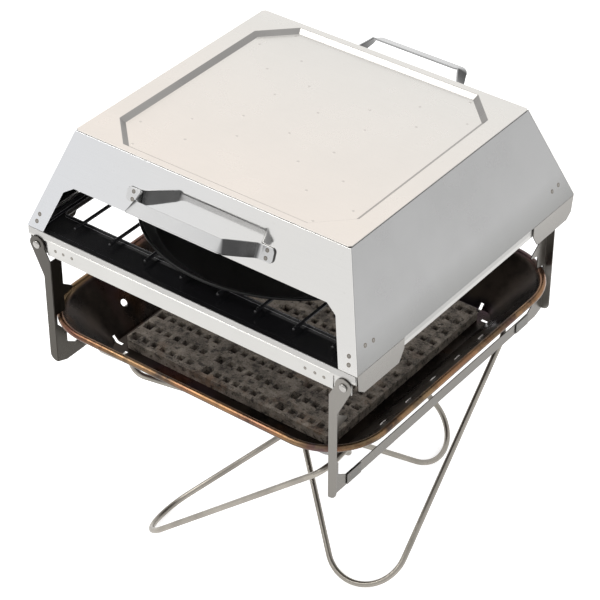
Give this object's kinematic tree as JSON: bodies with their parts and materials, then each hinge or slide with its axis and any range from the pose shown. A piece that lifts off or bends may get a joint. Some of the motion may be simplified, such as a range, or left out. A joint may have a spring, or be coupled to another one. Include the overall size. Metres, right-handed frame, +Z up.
{
  "type": "folding camp oven",
  "caption": "Square folding camp oven with a windowed lift-off hood, grate and pan above a fire tray with an iron slab, on a folding wire stand.",
  "frame": {"origin": "on the ground, centred below the hood and the fire tray", "axes": "+Z up; +X to the right of someone who faces the front window; +Y to the back"},
  "size_m": [0.43, 0.4368, 0.5049],
  "materials": {
    "polished_steel": "mirror-polished stainless sheet",
    "satin_steel": "satin stainless sheet",
    "leg_steel": "stainless strip, warm tone",
    "fired_steel": "soot-dark steel with a heat-tinted rim",
    "cast_iron": "rough iron with a little rust",
    "black_enamel": "semi-gloss black enamel",
    "pan_enamel": "deep black enamel",
    "nickel_wire": "bright nickel-plated round wire"
  },
  "bodies": {
    "fire_tray": {"fire_tray": "fired_steel"},
    "charcoal_slab": {"charcoal_slab": "cast_iron"},
    "stand_core": {"stand_pin_upper": "nickel_wire", "stand_pin_lower": "nickel_wire"},
    "stand_a": {"stand_loop_a": "nickel_wire"},
    "stand_b": {"stand_loop_b": "nickel_wire"},
    "stand_c": {"stand_loop_c": "nickel_wire"},
    "stand_d": {"stand_loop_d": "nickel_wire"},
    "oven_frame": {"front_rail": "satin_steel", "back_rail": "satin_steel", "left_rail": "satin_steel", "right_rail": "satin_steel", "left_front_pivot_pin": "polished_steel", "left_front_pivot_washer": "satin_steel", "left_back_pivot_pin": "polished_steel", "left_back_pivot_washer": "satin_steel", "right_front_pivot_pin": "polished_steel", "right_front_pivot_washer": "satin_steel", "right_back_pivot_pin": "polished_steel", "right_back_pivot_washer": "satin_steel"},
    "left_side": {"left_front_leg": "leg_steel", "left_back_leg": "leg_steel", "left_bottom_rail": "leg_steel", "left_front_lap_plate": "leg_steel", "left_back_lap_plate": "leg_steel"},
    "right_side": {"right_front_leg": "leg_steel", "right_back_leg": "leg_steel", "right_bottom_rail": "leg_steel", "right_front_lap_plate": "leg_steel", "right_back_lap_plate": "leg_steel"},
    "grate": {"grate_pan": "black_enamel", "grate_grid": "black_enamel"},
    "hood": {"hood_top_panel": "polished_steel", "hood_brace": "satin_steel", "hood_front_panel": "polished_steel", "hood_back_panel": "polished_steel", "hood_left_panel": "polished_steel", "hood_right_panel": "polished_steel", "front_handle": "satin_steel", "back_handle": "satin_steel", "hood_left_front_skirt": "polished_steel", "hood_left_back_skirt": "polished_steel", "hood_right_front_skirt": "polished_steel", "hood_right_back_skirt": "polished_steel"},
    "baking_pan": {"baking_pan": "pan_enamel"}
  },
  "joints": [
    {"name": "slab_lift", "type": "slide", "parent": "fire_tray", "child": "charcoal_slab", "axis": [0, 0, 1], "range_m": [0, 0.08]},
    {"name": "stand_drop", "type": "slide", "parent": "fire_tray", "child": "stand_core", "axis": [0, 0, -1], "range_m": [0, 0.12]},
    {"name": "oven_lift", "type": "slide", "parent": "fire_tray", "child": "oven_frame", "axis": [0, 0, 1], "range_m": [0, 0.1]},
    {"name": "left_side_swing", "type": "hinge", "parent": "oven_frame", "child": "left_side", "pos_m": [-0.2006, 0, 0.374], "axis": [0, 1, 0], "range_deg": [0, 40.5]},
    {"name": "right_side_swing", "type": "hinge", "parent": "oven_frame", "child": "right_side", "pos_m": [0.2006, 0, 0.374], "axis": [0, -1, 0], "range_deg": [0, 40.5]},
    {"name": "grate_lift", "type": "slide", "parent": "oven_frame", "child": "grate", "axis": [0, 0, 1], "range_m": [0, 0.1]},
    {"name": "hood_lift", "type": "slide", "parent": "grate", "child": "hood", "axis": [0, 0, 1], "range_m": [0, 0.2]},
    {"name": "pan_slide", "type": "slide", "parent": "grate", "child": "baking_pan", "axis": [0, -1, 0], "range_m": [0, 0.4]},
    {"name": "stand_fold_a", "type": "hinge", "parent": "stand_core", "child": "stand_a", "pos_m": [0, 0, 0.1042], "axis": [-0.0663, 0.9978, 0], "range_deg": [0, 26]},
    {"name": "stand_fold_b", "type": "hinge", "parent": "stand_core", "child": "stand_b", "pos_m": [0, 0, 0.0898], "axis": [-0.9978, -0.0663, 0], "range_deg": [0, 26.2]},
    {"name": "stand_fold_c", "type": "hinge", "parent": "stand_core", "child": "stand_c", "pos_m": [0, 0, 0.1042], "axis": [0.0663, -0.9978, 0], "range_deg": [0, 26.2]},
    {"name": "stand_fold_d", "type": "hinge", "parent": "stand_core", "child": "stand_d", "pos_m": [0, 0, 0.0898], "axis": [0.9978, 0.0663, 0], "range_deg": [0, 26.2]}
  ],
  "couplings": [
    {"joint": "stand_fold_b", "follows": "stand_fold_a", "ratio": 1},
    {"joint": "stand_fold_c", "follows": "stand_fold_a", "ratio": 1},
    {"joint": "stand_fold_d", "follows": "stand_fold_a", "ratio": 1},
    {"joint": "left_side_swing", "follows": "oven_lift", "rad_per_m": 6.98},
    {"joint": "right_side_swing", "follows": "oven_lift", "rad_per_m": 6.98}
  ]
}
